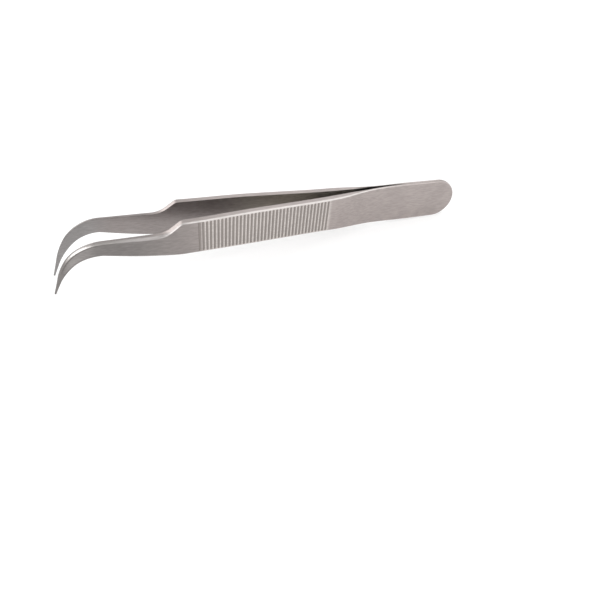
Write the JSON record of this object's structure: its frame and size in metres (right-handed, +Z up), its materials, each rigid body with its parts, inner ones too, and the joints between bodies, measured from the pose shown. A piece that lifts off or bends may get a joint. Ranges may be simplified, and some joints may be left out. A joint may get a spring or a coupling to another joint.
{
  "type": "angled tweezers",
  "caption": "Fine-point tweezers with hooked tips: sprung stainless steel arms with cross-grooved grips, spot-welded at a rounded butt.",
  "frame": {"origin": "on the surface that the tweezers stand on, under the middle of the bounding box, in the middle plane between the arms", "axes": "+X along the tool from the hooked tips to the butt, +Y square to the middle plane from the near arm to the far arm, +Z up; the tweezers stand on their tips and the lower round of the butt, as in the picture"},
  "size_m": [0.1162, 0.0122, 0.0164],
  "materials": {
    "satin_steel": "satin, finely brushed along the arms",
    "weld_metal": "dull fused metal"
  },
  "bodies": {
    "butt": {"near_tail": "satin_steel", "far_tail": "satin_steel", "weld_spots": "weld_metal"},
    "near_arm": {"near_arm": "satin_steel"},
    "far_arm": {"far_arm": "satin_steel"}
  },
  "joints": [
    {"name": "near_arm_flex", "type": "hinge", "parent": "butt", "child": "near_arm", "pos_m": [0.0317, -0.0006, 0.00745], "axis": [-0.0775, 0, -0.997], "range_deg": [0, 2.32], "stiffness_Nm_per_rad": 3},
    {"name": "far_arm_flex", "type": "hinge", "parent": "butt", "child": "far_arm", "pos_m": [0.0317, 0.0006, 0.00745], "axis": [0.0775, 0, 0.997], "range_deg": [0, 2.32], "stiffness_Nm_per_rad": 3}
  ]
}
